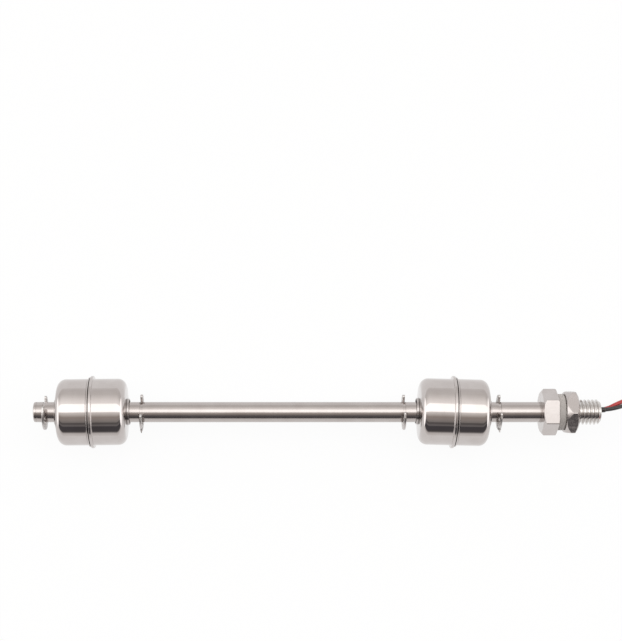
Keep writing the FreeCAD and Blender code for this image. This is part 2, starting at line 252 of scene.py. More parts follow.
def weight_normals(thing):
    """Shades flat faces flat beside their rounded edges."""
    weighted = thing.modifiers.new("Weighted normals", "WEIGHTED_NORMAL")
    weighted.keep_sharp = True
    weighted.weight = 80
    return thing


def turned(name, profile, segments, bumps=None, closed=True):
    """Body turned about X from (x, radius) points. bumps(x, radius, angle) adds to the radius."""
    rings = []
    for x, radius in profile:
        ring = []
        for angle in angles_round(segments):
            offset = bumps(x, radius, angle) if bumps else 0.0
            ring.append(turned_point(x, radius + offset, angle))
        rings.append(ring)
    return mesh_of_rings(name, rings, closed, 35)


def wavy(seed, strength, along, around):
    """Slow unevenness of a drawn or pressed surface, as a function for turned()."""
    def bumps(x, radius, angle):
        place = Vector((x / along + seed, math.cos(angle) * around, math.sin(angle) * around))
        return strength * noise.noise(place)
    return bumps


def smooth_step(value):
    value = min(max(value, 0.0), 1.0)
    return value * value * (3 - 2 * value)


def painted_shade(thing, amount):
    """Stores amount(x, radius) on each point: the share of painted shade that darkens the metal there."""
    layer = thing.data.attributes.new("painted_shade", "FLOAT", "POINT")
    for vertex, value in zip(thing.data.vertices, layer.data):
        x, y, z = vertex.co / MM
        value.value = amount(x, math.hypot(y, z))


def moved(thing, lean_degrees, x):
    """Leans a mesh about the upright axis and puts it at x, in its own points."""
    lean = math.radians(lean_degrees)
    for vertex in thing.data.vertices:
        along, across, up = vertex.co
        vertex.co = (
            along * math.cos(lean) - across * math.sin(lean) + x * MM,
            along * math.sin(lean) + across * math.cos(lean),
            up,
        )
    return thing


# Materials

class Nodes:
    """Short calls that fill the node tree of a material or world."""

    def __init__(self, owner, output_kind):
        owner.use_nodes = True
        self.tree = owner.node_tree
        self.tree.nodes.clear()
        self.output = self.add(output_kind)

    def add(self, kind):
        return self.tree.nodes.new(kind)

    def put(self, socket, value):
        """Links a node's output to a socket, or sets the socket to a constant."""
        if hasattr(value, "is_linked"):
            self.tree.links.new(value, socket)
        else:
            socket.default_value = value

    def maths(self, operation, first, second=0.0):
        node = self.add("ShaderNodeMath")
        node.operation = operation
        self.put(node.inputs[0], first)
        self.put(node.inputs[1], second)
        return node.outputs[0]

    def remap(self, value, low, high, to_low=0.0, to_high=1.0, smooth=False):
        node = self.add("ShaderNodeMapRange")
        if smooth:
            node.interpolation_type = "SMOOTHSTEP"
        for key, number in zip(("From Min", "From Max", "To Min", "To Max"), (low, high, to_low, to_high)):
            node.inputs[key].default_value = number
        self.put(node.inputs["Value"], value)
        return node.outputs[0]

    def blend(self, share, first, second):
        node = self.add("ShaderNodeMix")
        node.data_type = "RGBA"
        self.put(node.inputs["Factor"], share)
        self.put(node.inputs[6], (*first, 1.0) if isinstance(first, tuple) else first)
        self.put(node.inputs[7], (*second, 1.0) if isinstance(second, tuple) else second)
        return node.outputs[2]


class Finish(Nodes):
    """A material with one principled shader, which follows the object's own coordinates."""

    def __init__(self, name, **values):
        self.material = bpy.data.materials.new(name)
        super().__init__(self.material, "ShaderNodeOutputMaterial")
        self.shader = self.add("ShaderNodeBsdfPrincipled")
        self.put(self.output.inputs["Surface"], self.shader.outputs[0])
        for key, value in values.items():
            self.into(key.replace("_", " "), value)
        self.place = self.add("ShaderNodeTexCoord").outputs["Object"]

    def into(self, key, value):
        self.put(self.shader.inputs[key], value)

    def noise(self, scale, detail, roughness, offset=(0, 0, 0)):
        """Noise in the object's coordinates, which scale multiplies along each axis."""
        stretch = self.add("ShaderNodeMapping")
        self.put(stretch.inputs["Vector"], self.place)
        self.put(stretch.inputs["Scale"], scale)
        self.put(stretch.inputs["Location"], offset)
        node = self.add("ShaderNodeTexNoise")
        self.put(node.inputs["Vector"], stretch.outputs[0])
        self.put(node.inputs["Scale"], 1.0)
        self.put(node.inputs["Detail"], detail)
        self.put(node.inputs["Roughness"], roughness)
        return node.outputs[0]

    def stored(self, name):
        """A value kept on the mesh's points."""
        node = self.add("ShaderNodeAttribute")
        node.attribute_name = name
        return node.outputs["Fac"]

    def bump(self, height, depth):
        node = self.add("ShaderNodeBump")
        self.put(node.inputs["Distance"], depth)
        self.put(node.inputs["Height"], height)
        return node.outputs[0]


LIGHT_STEEL = (0.560, 0.520, 0.505)
DARK_STEEL = (0.520, 0.478, 0.462)
STEM_STEEL = (0.508, 0.468, 0.450)
STEM_DARK_STEEL = (0.472, 0.430, 0.412)
CLIP_STEEL = (0.640, 0.620, 0.605)
THREAD_STEEL = (0.680, 0.650, 0.630)
# Colour of the painted shade in the floats' creases and where their parts meet
PAINTED_SHADE_COLOUR = (0.085, 0.070, 0.062)

# Each steel: its material's name, light and dark colour, roughness and the roughness's spread, how
# much its marks' noise is scaled along each axis, and the marks' depth in metres
STEELS = {
    "stem_steel": ("drawn_steel", STEM_STEEL, STEM_DARK_STEEL, 0.14, 0.05, (60, 3800, 3800), 0.8e-6),
    "float_steel": ("pressed_steel", LIGHT_STEEL, DARK_STEEL, 0.055, 0.03, (2600, 130, 130), 0.5e-6),
    "head_steel": ("turned_steel", LIGHT_STEEL, DARK_STEEL, 0.14, 0.08, (700, 700, 700), 1.5e-6),
    "thread_steel": ("rolled_thread_steel", THREAD_STEEL, CLIP_STEEL, 0.09, 0.06, (700, 700, 700), 1.0e-6),
    "nut_steel": ("nut_steel", LIGHT_STEEL, DARK_STEEL, 0.24, 0.14, (800, 800, 800), 2.0e-6),
    "clip_steel": ("stamped_steel", CLIP_STEEL, LIGHT_STEEL, 0.36, 0.12, (900, 900, 900), 2.0e-6),
}
# Steels that get painted shade from the share stored on their points
SHADE_PAINTED_STEELS = ("float_steel",)


def steel(name, light, dark, roughness, spread, mark_scale, mark_depth, shade_painted):
    """Bare stainless steel with working marks, cloudy patches and rubbed places, and painted shade on the
    steels that ask for it.
    """
    finish = Finish(name, Metallic=1.0)
    marks = finish.noise(mark_scale, detail=4.0, roughness=0.6)
    clouds = finish.noise((160, 160, 160), detail=3.0, roughness=0.5, offset=(3.1, 0.7, 5.3))
    rubbed = finish.noise((70, 520, 520), detail=2.0, roughness=0.5, offset=(0.2, 1.9, 0.4))
    colour = finish.blend(finish.remap(clouds, 0.35, 0.65), dark, light)
    # Painted shade: the share stored on the points darkens the colour towards the shade colour
    if shade_painted:
        colour = finish.blend(finish.stored("painted_shade"), colour, PAINTED_SHADE_COLOUR)
    finish.into("Base Color", colour)
    marked = finish.remap(marks, 0.3, 0.7, roughness - spread / 2, roughness + spread / 2)
    smear = finish.remap(clouds, 0.4, 0.75, 0.0, spread / 2)
    scuffs = finish.remap(rubbed, 0.58, 0.74, 0.0, spread)
    finish.into("Roughness", finish.maths("ADD", finish.maths("ADD", marked, smear), scuffs))
    finish.into("Normal", finish.bump(marks, mark_depth))
    return finish.material


# Each other material: light and dark colour, roughness and its spread, how much its grain's noise is
# scaled, the grain's depth in metres, and further values of its shader
METAL = {"Metallic": 1.0}
GLASS = {"Transmission_Weight": 1.0, "IOR": 1.52}
PLAIN_MATERIALS = {
    "gasket_rubber": ((0.455, 0.425, 0.405), (0.40, 0.372, 0.352), 0.62, 0.15, 1500, 1.2e-5, {}),
    "potting_resin": ((0.050, 0.040, 0.037), (0.032, 0.026, 0.024), 0.28, 0.2, 900, 1.5e-5, {}),
    "red_insulation": ((0.43, 0.040, 0.040), (0.35, 0.028, 0.028), 0.36, 0.12, 1800, 1.5e-6, {}),
    "black_insulation": ((0.034, 0.029, 0.030), (0.022, 0.020, 0.020), 0.38, 0.12, 1800, 1.5e-6, {}),
    "tie_plastic": ((0.62, 0.61, 0.58), (0.55, 0.54, 0.51), 0.4, 0.1, 1200, 5e-6, {}),
    "tinned_copper": ((0.58, 0.57, 0.55), (0.48, 0.47, 0.45), 0.3, 0.15, 2200, 3e-6, METAL),
    "magnet_ferrite": ((0.045, 0.044, 0.045), (0.03, 0.03, 0.031), 0.6, 0.2, 1400, 8e-6, {}),
    "circuit_board": ((0.025, 0.15, 0.06), (0.018, 0.11, 0.045), 0.35, 0.1, 1800, 4e-6, {}),
    "sleeve_plastic": ((0.04, 0.04, 0.042), (0.03, 0.03, 0.031), 0.5, 0.1, 1500, 4e-6, {}),
    "reed_glass": ((0.80, 0.90, 0.84), (0.72, 0.86, 0.78), 0.06, 0.04, 600, 1e-6, GLASS),
    "reed_metal": ((0.52, 0.51, 0.49), (0.44, 0.43, 0.41), 0.28, 0.1, 1800, 3e-6, METAL),
}


def plain(name, light, dark, roughness, spread, grain, depth, values):
    """Material with fine grain in its roughness and surface, and cloudy patches in its colour."""
    finish = Finish(name, **values)
    grains = finish.noise((grain, grain, grain), detail=4.0, roughness=0.6)
    clouds = finish.noise((220, 220, 220), detail=2.0, roughness=0.5, offset=(1.3, 4.1, 2.2))
    finish.into("Base Color", finish.blend(finish.remap(clouds, 0.3, 0.7), dark, light))
    finish.into("Roughness", finish.remap(grains, 0.3, 0.7, roughness - spread / 2, roughness + spread / 2))
    finish.into("Normal", finish.bump(grains, depth))
    return finish.material


finishes = {slot: steel(*look, slot in SHADE_PAINTED_STEELS) for slot, look in STEELS.items()}
finishes.update({name: plain(name, *look) for name, look in PLAIN_MATERIALS.items()})


def add_piece(thing, body, slot, *nodes):
    """Says which body a piece rides on and which nodes it stands for.

    The piece gets its slot's material, unless it already has one.
    """
    if not thing.data.materials:
        thing.data.materials.append(finishes[slot])
    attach(thing, body)
    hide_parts(*nodes)
    return thing


# Stem and its tip

def clip_x(number):
    low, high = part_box(f"retaining_clip_{number}")
    return (low.x + high.x) / 2 / MM


def stem():
    """Drawn tube with a groove for each clip."""
    start = TIP_X + TIP_CAP + TOUCH_GAP
    section = [(start, STEM_RADIUS, 0.04, 2)]
    for number, *_ in CLIPS:
        low = clip_x(number) - GROOVE_WIDTH / 2
        high = clip_x(number) + GROOVE_WIDTH / 2
        section += [
            (low, STEM_RADIUS, 0.06, 2),
            (low, GROOVE_RADIUS, 0.06, 2),
            (high, GROOVE_RADIUS, 0.06, 2),
            (high, STEM_RADIUS, 0.06, 2),
        ]
    section += [
        (STEM_TOP_X, STEM_RADIUS, 0.04, 2),
        (STEM_TOP_X, STEM_BORE_RADIUS, 0.04, 2),
        (start, STEM_BORE_RADIUS, 0.04, 2),
    ]
    profile = subdivided(round_corners(section), 3.0)
    return turned("stem", profile, 128, wavy(seed=11.0, strength=0.006, along=9.0, around=1.2))


def tip_plug():
    """Turned plug, whose spigot goes into the stem."""
    cap_x = TIP_X + TIP_CAP
    spigot_radius = STEM_BORE_RADIUS - TOUCH_GAP
    section = [
        (TIP_X, 0.0, 0.0, 0),
        (TIP_X, STEM_RADIUS, TIP_ROUNDING, 8),
        (cap_x, STEM_RADIUS, 0.06, 2),
        (cap_x, spigot_radius, 0.05, 2),
        (cap_x + TIP_SPIGOT, spigot_radius, 0.3, 2),
        (cap_x + TIP_SPIGOT, 0.0, 0.0, 0),
    ]
    profile = subdivided(round_corners(section, False), 0.8, False)
    return turned("stem_tip_plug", profile, 128, closed=False)


add_piece(stem(), "stem", "stem_steel", "stem_tube")
add_piece(tip_plug(), "stem", "stem_steel", "tip_plug")


# Floats

def float_outer_path():
    """Outer line of a float's two halves and the seam between them."""
    lip_start, lip_end = SEAM_LIP
    fold_start, fold_end = SEAM_FOLD
    end = [
        (FLOAT_HALF_LENGTH, CORE_RADIUS + TOUCH_GAP, 0.0, 0),
        (FLOAT_HALF_LENGTH, FLOAT_FACE_RADIUS, 0.6, 3),
        (FLOAT_HALF_LENGTH - FLOAT_DISH, FLOAT_RADIUS, FLOAT_SHOULDER, 16),
    ]
    seam = [
        (SEAM_FOOT_X - 0.30, FLOAT_RADIUS, 0.20, 4),
        (SEAM_FOOT_X, FLOAT_RADIUS - 0.12, 0.10, 3),
        (fold_start, FLOAT_RADIUS + 0.08, 0.10, 3),
        (fold_start, SEAM_FOLD_RADIUS, 0.26, 6),
        (fold_end, SEAM_FOLD_RADIUS, 0.16, 5),
        (SEAM_GROOVE_X - 0.12, FLOAT_RADIUS + 0.12, 0.04, 2),
        (SEAM_GROOVE_X + 0.12, FLOAT_RADIUS + 0.12, 0.04, 2),
        (lip_start, SEAM_RADIUS, 0.24, 6),
        (lip_end, SEAM_RADIUS, 0.36, 8),
        (lip_end, FLOAT_RADIUS, 0.28, 5),
    ]
    return round_corners(flipped(end) + seam + end[::-1], False)


def float_shell(name, seed, facing):
    """Pressed shell whose standing rim faces along X by facing, 1 or -1."""
    inner_end = (FLOAT_HALF_LENGTH - FLOAT_WALL, CORE_RADIUS + TOUCH_GAP, 0.0, 0)
    inner_shoulder = (FLOAT_HALF_LENGTH - FLOAT_WALL, FLOAT_RADIUS - FLOAT_WALL, 3.6, 6)
    inner = [inner_end, inner_shoulder, *flipped([inner_shoulder, inner_end])]
    path = subdivided(float_outer_path(), 0.8, False) + round_corners(inner, False)
    path = [(x * facing, radius) for x, radius in path]
    slow = wavy(seed, strength=0.030, along=7.0, around=1.1)
    ripple = wavy(seed + 40, strength=0.014, along=1.6, around=7.0)

    def bumps(x, radius, angle):
        offset = slow(x, radius, angle) * smooth_step((radius - 9.0) / 4.0)
        if radius > FLOAT_RADIUS + 0.05:
            offset += ripple(x, radius, angle)
            return min(offset, SEAM_RADIUS - radius)
        return offset

    # Painted shade: darker where the end face meets the core tube, in the crevice at the fold's foot and
    # most in the seam's groove
    def painted_shade_share(x, radius):
        if radius < FLOAT_RADIUS - 1.0:
            return 0.5 * (1.0 - smooth_step((radius - CORE_RADIUS) / 0.8))
        crevice = 1.0 - smooth_step(abs(x * facing - SEAM_FOOT_X) / 0.18)
        groove = 1.0 - smooth_step((abs(x * facing - SEAM_GROOVE_X) - 0.16) / 0.12)
        return max(0.7 * crevice, groove)

    shell = turned(name, path, 288, bumps)
    painted_shade(shell, painted_shade_share)
    return shell


def float_core(name):
    """Tube through a float, with the bead that welds it to either end."""
    end = FLOAT_HALF_LENGTH + CORE_PROJECTION
    bead_start = FLOAT_HALF_LENGTH - 0.1
    bead_end = FLOAT_HALF_LENGTH + TOUCH_GAP
    half_section = [
        (bead_start, CORE_RADIUS, 0.05, 2),
        (bead_start, CORE_RADIUS + WELD_BEAD, 0.05, 2),
        (bead_end, CORE_RADIUS + WELD_BEAD, 0.12, 3),
        (bead_end, CORE_RADIUS, 0.2, 3),
        (end, CORE_RADIUS, 0.12, 3),
        (end, CORE_RADIUS - CORE_WALL, 0.08, 3),
    ]
    section = flipped(half_section[::-1]) + half_section

    # Painted shade: darker where the tube leaves the shell's end, and a little darker all along
    def painted_shade_share(x, radius):
        return 0.2 + 0.7 * (1.0 - smooth_step((abs(x) - FLOAT_HALF_LENGTH) / 0.5))

    core = turned(name, subdivided(round_corners(section), 0.25), 160)
    painted_shade(core, painted_shade_share)
    return core


for side, (centre_x, lean, seed, facing) in FLOATS.items():
    body = side + "_float"
    shell = moved(float_shell(side + "_float_shell", seed, facing), lean, centre_x)
    add_piece(shell, body, "float_steel", body + "_bottom_shell", body + "_top_shell")
    core = moved(float_core(side + "_float_bore_tube"), lean, centre_x)
    add_piece(core, body, "float_steel", body + "_core_tube")


# Clips

def evenly_spaced(path, count):
    """Points at equal steps along an open path."""
    path = np.array(path)
    travelled = np.concatenate([[0.0], np.cumsum(np.linalg.norm(np.diff(path, axis=0), axis=1))])
    places = np.linspace(0.0, travelled[-1], count)
    first = np.interp(places, travelled, path[:, 0])
    second = np.interp(places, travelled, path[:, 1])
    return [complex(*pair) for pair in zip(first, second)]


def rounded_plate(name, outer, inner, half_thickness, edge, pointed_beyond):
    """C-shaped plate across X between an outer and an inner (y, z) path, with its edges rounded over.

    What stands out past the radius pointed_beyond is rounded less, so that it can come to a point.
    """
    half_count = 220
    edge_steps = 3
    flat_ring = 0.05
    outline = evenly_spaced(outer, half_count) + evenly_spaced(inner, half_count)
    count = len(outline)
    inward = []
    for index, point in enumerate(outline):
        before = point - outline[index - 1]
        after = outline[(index + 1) % count] - point
        way = before / abs(before) + after / abs(after)
        share = 0.3 if abs(point) > pointed_beyond else 1.0
        inward.append(1j * way / abs(way) * share)
    levels = []
    for step in range(edge_steps + 1):
        turn = math.pi / 2 * step / edge_steps
        levels.append((half_thickness - edge + edge * math.sin(turn), edge * (1 - math.cos(turn))))
    levels.append((half_thickness, edge + flat_ring))
    levels = [(-x, inset) for x, inset in reversed(levels)] + levels
    vertices = []
    for x, inset in levels:
        for point, way in zip(outline, inward):
            place = point + way * inset
            vertices.append((x, place.real, place.imag))
    faces = grid_faces(len(levels), count, False)
    for first in (0, (len(levels) - 1) * count):
        for index in range(half_count - 1):
            across = count - 1 - index
            faces.append((first + index, first + index + 1, first + across - 1, first + across))
    return weight_normals(finish_mesh(name, vertices, faces, 50))


def arc(radius, first, last, step):
    """Corners along an arc about the origin, in degrees, with its two ends rounded."""
    count = max(2, round(abs(last - first) / step))
    corners = []
    for index in range(count + 1):
        angle = math.radians(first + (last - first) * index / count)
        rounding, steps = (0.3, 3) if index in (0, count) else (0.0, 0)
        corners.append((radius * math.cos(angle), radius * math.sin(angle), rounding, steps))
    return corners


def clip_paths(nib_angle):
    """Outer and inner edge of an E-shaped clip with its mouth towards the first coordinate."""
    mouth_outer = math.asin(CLIP_MOUTH_OUTER / CLIP_RADIUS)
    mouth_inner = math.degrees(math.asin(CLIP_MOUTH_INNER / CLIP_BEARING_RADIUS))
    tip = CLIP_RADIUS * math.cos(mouth_outer)
    arc_start = math.degrees(mouth_outer) + CLIP_TIP_SPAN
    outer = [(tip, CLIP_MOUTH_OUTER, CLIP_TIP_ROUNDING, 8)]
    if nib_angle is None:
        outer += arc(CLIP_RADIUS, arc_start, 360 - arc_start, 4)
    else:
        nib = math.radians(nib_angle)
        nib_half = math.degrees(math.asin(CLIP_NIB_HALF_WIDTH / CLIP_RADIUS))
        outer += arc(CLIP_RADIUS, arc_start, nib_angle - nib_half, 4)
        outer.append((CLIP_NIB_RADIUS * math.cos(nib), CLIP_NIB_RADIUS * math.sin(nib), 0.07, 2))
        outer += arc(CLIP_RADIUS, nib_angle + nib_half, 360 - arc_start, 4)
    outer.append((tip, -CLIP_MOUTH_OUTER, CLIP_TIP_ROUNDING, 8))
    near, far = CLIP_RECESS
    inner = arc(CLIP_BEARING_RADIUS, 360 - mouth_inner, 360 - near, 6)
    inner += arc(CLIP_RECESS_RADIUS, 360 - near, 360 - far, 5)
    inner += arc(CLIP_BEARING_RADIUS, 360 - far, far, 5)
    inner += arc(CLIP_RECESS_RADIUS, far, near, 5)
    inner += arc(CLIP_BEARING_RADIUS, near, mouth_inner, 6)
    path = round_corners(outer + inner)
    outer_count = sum(steps + 1 for *_, steps in outer)
    return path[:outer_count], path[outer_count:]


def clip(number, mouth, nib, lean):
    """Clip turned so that its mouth faces its own way. A nib thins towards its point."""
    outer, inner = clip_paths(None if nib is None else nib - mouth)
    name = f"retaining_clip_{number}_plate"
    thing = rounded_plate(name, outer, inner, CLIP_HALF_THICKNESS, CLIP_EDGE, CLIP_RADIUS + 0.05)
    turn = math.radians(mouth)
    for vertex in thing.data.vertices:
        x, y, z = vertex.co
        beyond = math.hypot(y, z) / MM - CLIP_RADIUS
        point_share = min(max(beyond / (CLIP_NIB_RADIUS - CLIP_RADIUS), 0.0), 1.0)
        vertex.co = (
            x * (1.0 - CLIP_NIB_THINNING * point_share),
            y * math.cos(turn) - z * math.sin(turn),
            y * math.sin(turn) + z * math.cos(turn),
        )
    return moved(thing, lean, clip_x(number))


for number, mouth, nib, lean in CLIPS:
    add_piece(clip(number, mouth, nib, lean), "stem", "clip_steel", f"retaining_clip_{number}")


# Head, gasket and nut

HEXAGON_EDGE_RADIUS = 0.35
LEAST_CHAMFER = 0.06


def hexagon_radius(angle, corner_angle):
    """Radius of a hexagon with rounded corners at an angle."""
    half_flats = HEAD_ACROSS_FLATS / 2
    sector = math.radians(60)
    off = (angle - corner_angle + sector) % sector - sector / 2
    inner = half_flats - HEXAGON_EDGE_RADIUS
    side = inner * math.tan(sector / 2)
    if abs(math.tan(off) * half_flats) <= side:
        return half_flats / math.cos(off)
    toward = inner * math.cos(off) + side * math.sin(abs(off))
    return toward + math.sqrt(toward ** 2 - inner ** 2 - side ** 2 + HEXAGON_EDGE_RADIUS ** 2)


def hexagon_angles(corner_angle):
    """Angles round a hexagon, closer together at its corners."""
    steps = [0, 5, 10, 15, 20, 24, 26.5, 27.6, 28.3, 28.9, 29.5]
    offsets = [-step for step in reversed(steps[1:])] + steps
    angles = []
    for side in range(6):
        for offset in offsets:
            angles.append(corner_angle + math.radians(60 * side + 30 + offset))
    return angles


def chamfer_points(x, inward, chamfer, radius):
    """Where a turned chamfer meets the face at x and the side at radius. It is full at the corners."""
    land, depth = chamfer
    corner = HEAD_ACROSS_FLATS / math.sqrt(3)
    cut = max(LEAST_CHAMFER, depth * (radius - land) / (corner - land))
    return (x, min(land, radius - LEAST_CHAMFER)), (x + inward * cut, radius)


def hexagon(name, start_x, end_x, corner_angle, start_chamfer, end_chamfer, start_hole, end_hole, bore):
    """Hexagon with turned chamfers. A chamfer or a hole's countersink is (radius at the face, depth)."""
    sections = []
    for angle in hexagon_angles(corner_angle):
        radius = hexagon_radius(angle, corner_angle)
        start_face, start_side = chamfer_points(start_x, 1, start_chamfer, radius)
        end_face, end_side = chamfer_points(end_x, -1, end_chamfer, radius)
        path = round_corners([
            (start_x + start_hole[1], bore, 0.05, 2),
            (start_x, start_hole[0], 0.08, 2),
            (*start_face, 0.12, 3),
            (*start_side, 0.12, 4),
            (*end_side, 0.12, 4),
            (*end_face, 0.12, 3),
            (end_x, end_hole[0], 0.08, 2),
            (end_x - end_hole[1], bore, 0.05, 2),
        ])
        sections.append([turned_point(x, radius, angle) for x, radius in path])
    return weight_normals(mesh_of_rings(name, list(zip(*sections)), True, 40))


def thread_height(turns):
    """Depth below the crest of an ISO thread, for a place in turns."""
    place = abs(turns % 1.0 - 0.5) * 2
    crest = 0.125
    root = 0.75
    if place < crest:
        return 0.0
    if place > root:
        return THREAD_DEPTH
    return THREAD_DEPTH * (place - crest) / (root - crest)


def threaded_stud(name):
    """Stud with a rolled right-hand thread, a chamfered end and the bore for the wires."""
    angles = angles_round(168)
    rings_per_pitch = 22
    start = -1.0
    run_out = (0.5, 1.7)
    chamfer = 1.0
    bore_chamfer = 0.25
    steps = int((THREAD_LENGTH - start) / THREAD_PITCH * rings_per_pitch)
    rings = []
    for step in range(steps + 1):
        x = start + (THREAD_LENGTH - start) * step / steps
        depth_share = smooth_step((x - run_out[0]) / (run_out[1] - run_out[0]))
        ring = []
        for angle in angles:
            depth = thread_height(x / THREAD_PITCH - angle / (2 * math.pi)) * depth_share
            radius = THREAD_RADIUS - TOUCH_GAP - depth
            radius = min(radius, THREAD_RADIUS - chamfer + (THREAD_LENGTH - x))
            nick = noise.noise(Vector((x * 1.3, math.cos(angle) * 4, math.sin(angle) * 4)))
            ring.append(turned_point(x, radius + 0.012 * nick, angle))
        rings.append(ring)
    bore_path = [
        (THREAD_LENGTH, BORE_RADIUS + bore_chamfer),
        (THREAD_LENGTH - bore_chamfer, BORE_RADIUS),
        (POTTING_X - 1.0, BORE_RADIUS),
        (start, BORE_RADIUS),
    ]
    for x, radius in bore_path:
        rings.append([turned_point(x, radius, angle) for angle in angles])
    return mesh_of_rings(name, rings, True, 50)


def gasket():
    """Rubber ring with rounded outer edges."""
    section = [
        (GASKET_START_X, CLEAR_BORE_RADIUS, 0.12, 3),
        (GASKET_START_X, GASKET_RADIUS, 0.4, 6),
        (GASKET_END_X, GASKET_RADIUS, 0.4, 6),
        (GASKET_END_X, CLEAR_BORE_RADIUS, 0.12, 3),
    ]
    profile = subdivided(round_corners(section), 0.5)
    return turned("sealing_washer", profile, 160, wavy(seed=5.0, strength=0.02, along=2.0, around=1.5))


head = hexagon(
    "hexagon_head",
    start_x=UNDERSIDE_X,
    end_x=0.0,
    corner_angle=0.0,
    start_chamfer=(7.95, 1.1),
    end_chamfer=(8.7, 0.25),
    start_hole=(STEM_RADIUS + 0.25, 0.2),
    end_hole=(THREAD_RADIUS + 0.1, 0.2),
    bore=STEM_RADIUS + TOUCH_GAP,
)
add_piece(head, "stem", "head_steel", "threaded_head")
stud = threaded_stud("threaded_stud")
stud.data.materials.append(finishes["thread_steel"])
add_piece(stud, "stem", "head_steel", "threaded_head")
add_piece(gasket(), "gasket", "gasket_rubber", "sealing_gasket")
nut = hexagon(
    "hexagon_nut",
    start_x=NUT_START_X,
    end_x=NUT_END_X,
    corner_angle=math.radians(NUT_ANGLE),
    start_chamfer=(7.8, 2.3),
    end_chamfer=(7.3, 1.25),
    start_hole=(THREAD_RADIUS + 0.6, 0.5),
    end_hole=(THREAD_RADIUS + 0.6, 0.5),
    bore=CLEAR_BORE_RADIUS,
)
add_piece(nut, "nut", "nut_steel", "lock_nut")


# Potting and wires

def potting_plug():
    """Resin in the stud's bore. Its face creeps up the bore and the wires."""
    radius = BORE_RADIUS - TOUCH_GAP
    angles = angles_round(96)
    ring_count = 26
    face_x = POTTING_X - 0.12
    back_x = POTTING_X - 3.0
    bore_climb, bore_reach = 0.22, 0.25
    wire_climb, wire_reach = 0.30, 0.22
    rings = []
    for index in range(ring_count + 1):
        share = index / ring_count
        ring = []
        for angle in angles:
            y = radius * share * math.cos(angle)
            z = radius * share * math.sin(angle)
            climb = bore_climb * math.exp(-(radius - radius * share) / bore_reach)
            for exit_y, exit_z in EXITS.values():
                gap = max(0.0, math.hypot(y - exit_y, z - exit_z) - WIRE_DIAMETER / 2)
                climb = max(climb, wire_climb * math.exp(-gap / wire_reach))
            uneven = 0.05 * noise.noise(Vector((y * 0.9, z * 0.9, 4.0)))
            ring.append((face_x + climb + uneven, y, z))
        rings.append(ring)
    rings.append([(back_x, y, z) for x, y, z in rings[-1]])
    rings.append([(back_x, 0.0, 0.0)] * len(angles))
    return mesh_of_rings("potting_plug", rings, False, 40)


def resin_sheath():
    """Resin that has crept along both wires, one oval section after another as (x, thickness)."""
    sections = [
        (POTTING_X - 0.60, 0.75),
        (POTTING_X - 0.05, 0.62),
        (POTTING_X + 0.25, 0.40),
        (POTTING_X + 0.80, 0.30),
        (POTTING_X + 1.60, 0.26),
        (POTTING_X + 2.20, 0.24),
        (POTTING_X + 2.45, 0.16),
        (POTTING_X + 2.52, 0.04),
        (POTTING_X + 2.40, -0.12),
    ]
    low = complex(*EXITS["red"])
    high = complex(*EXITS["black"])
    rings = []
    for x, thickness in sections:
        ring = []
        for angle in angles_round(72):
            way = complex(math.cos(angle), math.sin(angle))
            share = smooth_step((math.sin(angle) + 0.35) / 0.7)
            uneven = 0.10 * noise.noise(Vector((x * 1.1, way.real * 1.5, way.imag * 1.5)))
            place = low + (high - low) * share + way * (WIRE_DIAMETER / 2 + thickness + uneven)
            ring.append((x, place.real, place.imag))
        rings.append(ring)
    return mesh_of_rings("potting_sheath", rings, False, 50)


add_piece(potting_plug(), "stem", "potting_resin", "potting")
add_piece(resin_sheath(), "stem", "potting_resin", "potting")


def coil_turns(slots, last_height):
    """Points of the coiled turns, clockwise seen from above.

    Each turn lies in a slot (radius, height) and crosses to the next one near its end.
    """
    shrink = math.cos(math.pi / COIL_STEPS)
    points = []
    for turn, (radius, height) in enumerate(slots):
        last_turn = turn == len(slots) - 1
        next_radius, next_height = (radius, last_height) if last_turn else slots[turn + 1]
        for step in range(COIL_STEPS):
            travelled = 360 * step / COIL_STEPS
            share = smooth_step((travelled - COIL_CROSSING_START) / COIL_CROSSING_SPAN)
            here = (radius + (next_radius - radius) * share) / shrink
            angle = math.radians(90 - travelled)
            points.append((
                COIL_CENTRE[0] + here * math.cos(angle),
                COIL_CENTRE[1] + here * math.sin(angle),
                height + (next_height - height) * share,
            ))
    return points


def slot_of(radius, layer):
    return COIL_RADII[radius], COIL_LAYERS[layer]


red_route = [
    (16.8, 1.0, -0.85),
    (19.8, 1.0, -0.85),
    (25.0, 3.6, -1.5),
    (31.0, 5.6, -4.9),
    (37.0, 6.6, -9.6),
    (42.8, 6.8, -13.1),
    (47.6, 6.8, -13.5),
]
red_turns = [slot_of("outer", "bottom"), slot_of("outer", "centre"), slot_of("outer", "top")]
red_tail = [
    (52.0, 6.9, -10.1),
    (56.5, 6.8, -10.3),
    (61.5, 6.5, -13.5),
    (66.0, 6.0, -13.5),
]
black_route = [
    (16.8, 0.9, 0.85),
    (19.8, 0.9, 0.85),
    (25.0, 1.9, -0.1),
    (31.0, 3.7, -4.1),
    (37.0, 4.8, -9.3),
    (42.8, 5.1, -13.0),
    (47.6, 5.1, -13.5),
]
black_turns = [
    slot_of("middle", "bottom"),
    slot_of("inner", "bottom"),
    slot_of("inner", "centre"),
    slot_of("middle", "centre"),
]
black_tail = [
    (52.0, 5.2, -9.4),
    (56.3, 5.1, -8.3),
    (60.6, 4.6, -8.7),
    (65.2, 3.6, -13.5),
    (69.6, 2.9, -13.5),
]
red_points = red_route + coil_turns(red_turns, COIL_LAYERS["top"]) + red_tail
black_points = black_route + coil_turns(black_turns, black_tail[0][2]) + black_tail


